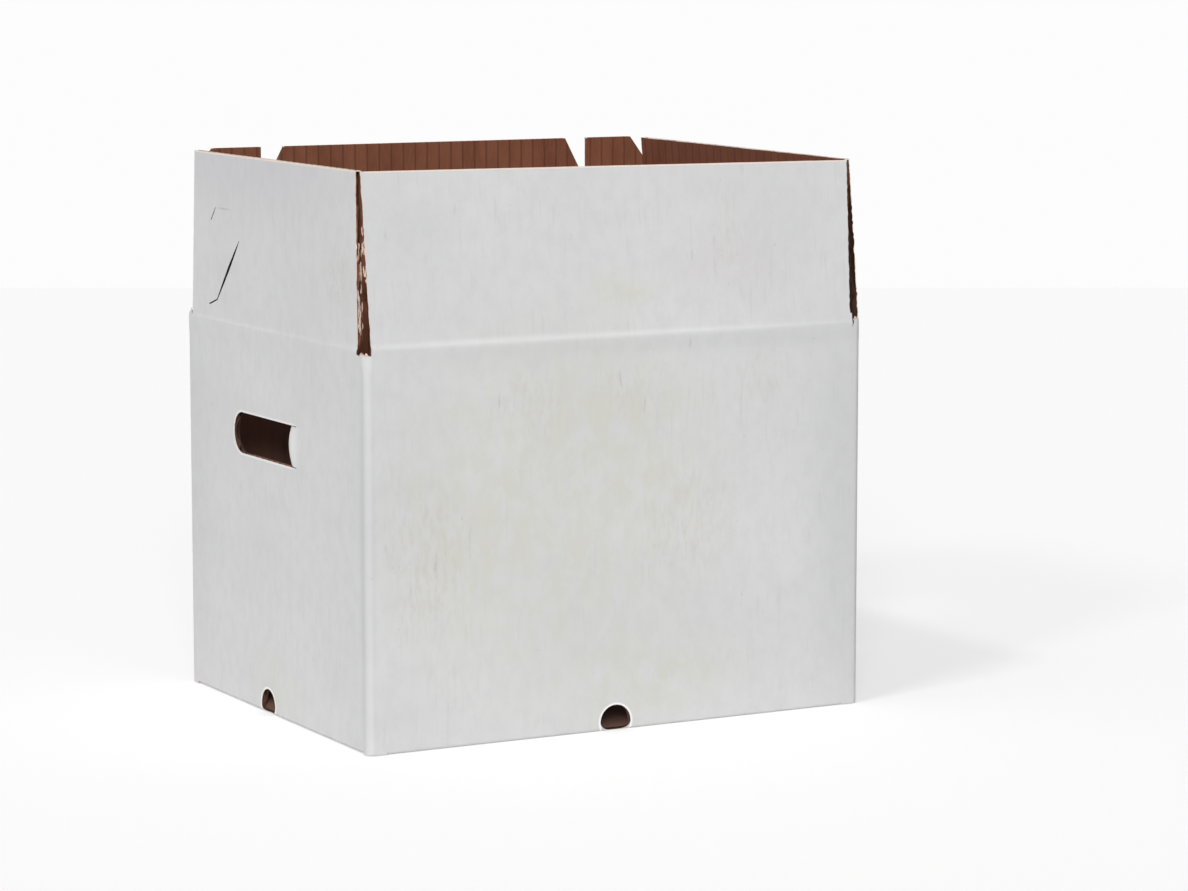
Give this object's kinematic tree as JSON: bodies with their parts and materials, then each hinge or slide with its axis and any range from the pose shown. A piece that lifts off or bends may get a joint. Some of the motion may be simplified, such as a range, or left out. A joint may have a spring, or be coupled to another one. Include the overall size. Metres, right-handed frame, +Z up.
{
  "type": "cardboard vegetable box",
  "caption": "Open-topped corrugated box folded from one sheet, white outside and brown inside, with hinged top flaps, hand holes and bottom vents, for carrying vegetables.",
  "frame": {"origin": "middle of the box's footprint, on the floor that it stands on", "axes": "+X along the long sides to the right, -Y towards the front, +Z up"},
  "size_m": [0.3266, 0.2576, 0.329],
  "materials": {
    "corrugated_board": "matt white liner outside, brown kraft liner with flute lines inside"
  },
  "bodies": {
    "carton": {"carton_body": "corrugated_board"},
    "front_flap": {"front_flap": "corrugated_board"},
    "back_flap": {"back_flap": "corrugated_board"},
    "left_flap": {"left_flap": "corrugated_board"},
    "right_flap": {"right_flap": "corrugated_board"}
  },
  "joints": [
    {"name": "front_crease", "type": "hinge", "parent": "carton", "child": "front_flap", "pos_m": [0, -0.128, 0.232], "axis": [1, 0, 0], "range_deg": [-84, 174]},
    {"name": "back_crease", "type": "hinge", "parent": "carton", "child": "back_flap", "pos_m": [0, 0.128, 0.232], "axis": [-1, 0, 0], "range_deg": [-90, 170]},
    {"name": "left_crease", "type": "hinge", "parent": "carton", "child": "left_flap", "pos_m": [-0.1625, 0, 0.228], "axis": [0, -1, 0], "range_deg": [-90, 170]},
    {"name": "right_crease", "type": "hinge", "parent": "carton", "child": "right_flap", "pos_m": [0.1625, 0, 0.228], "axis": [0, 1, 0], "range_deg": [-90, 170]}
  ]
}
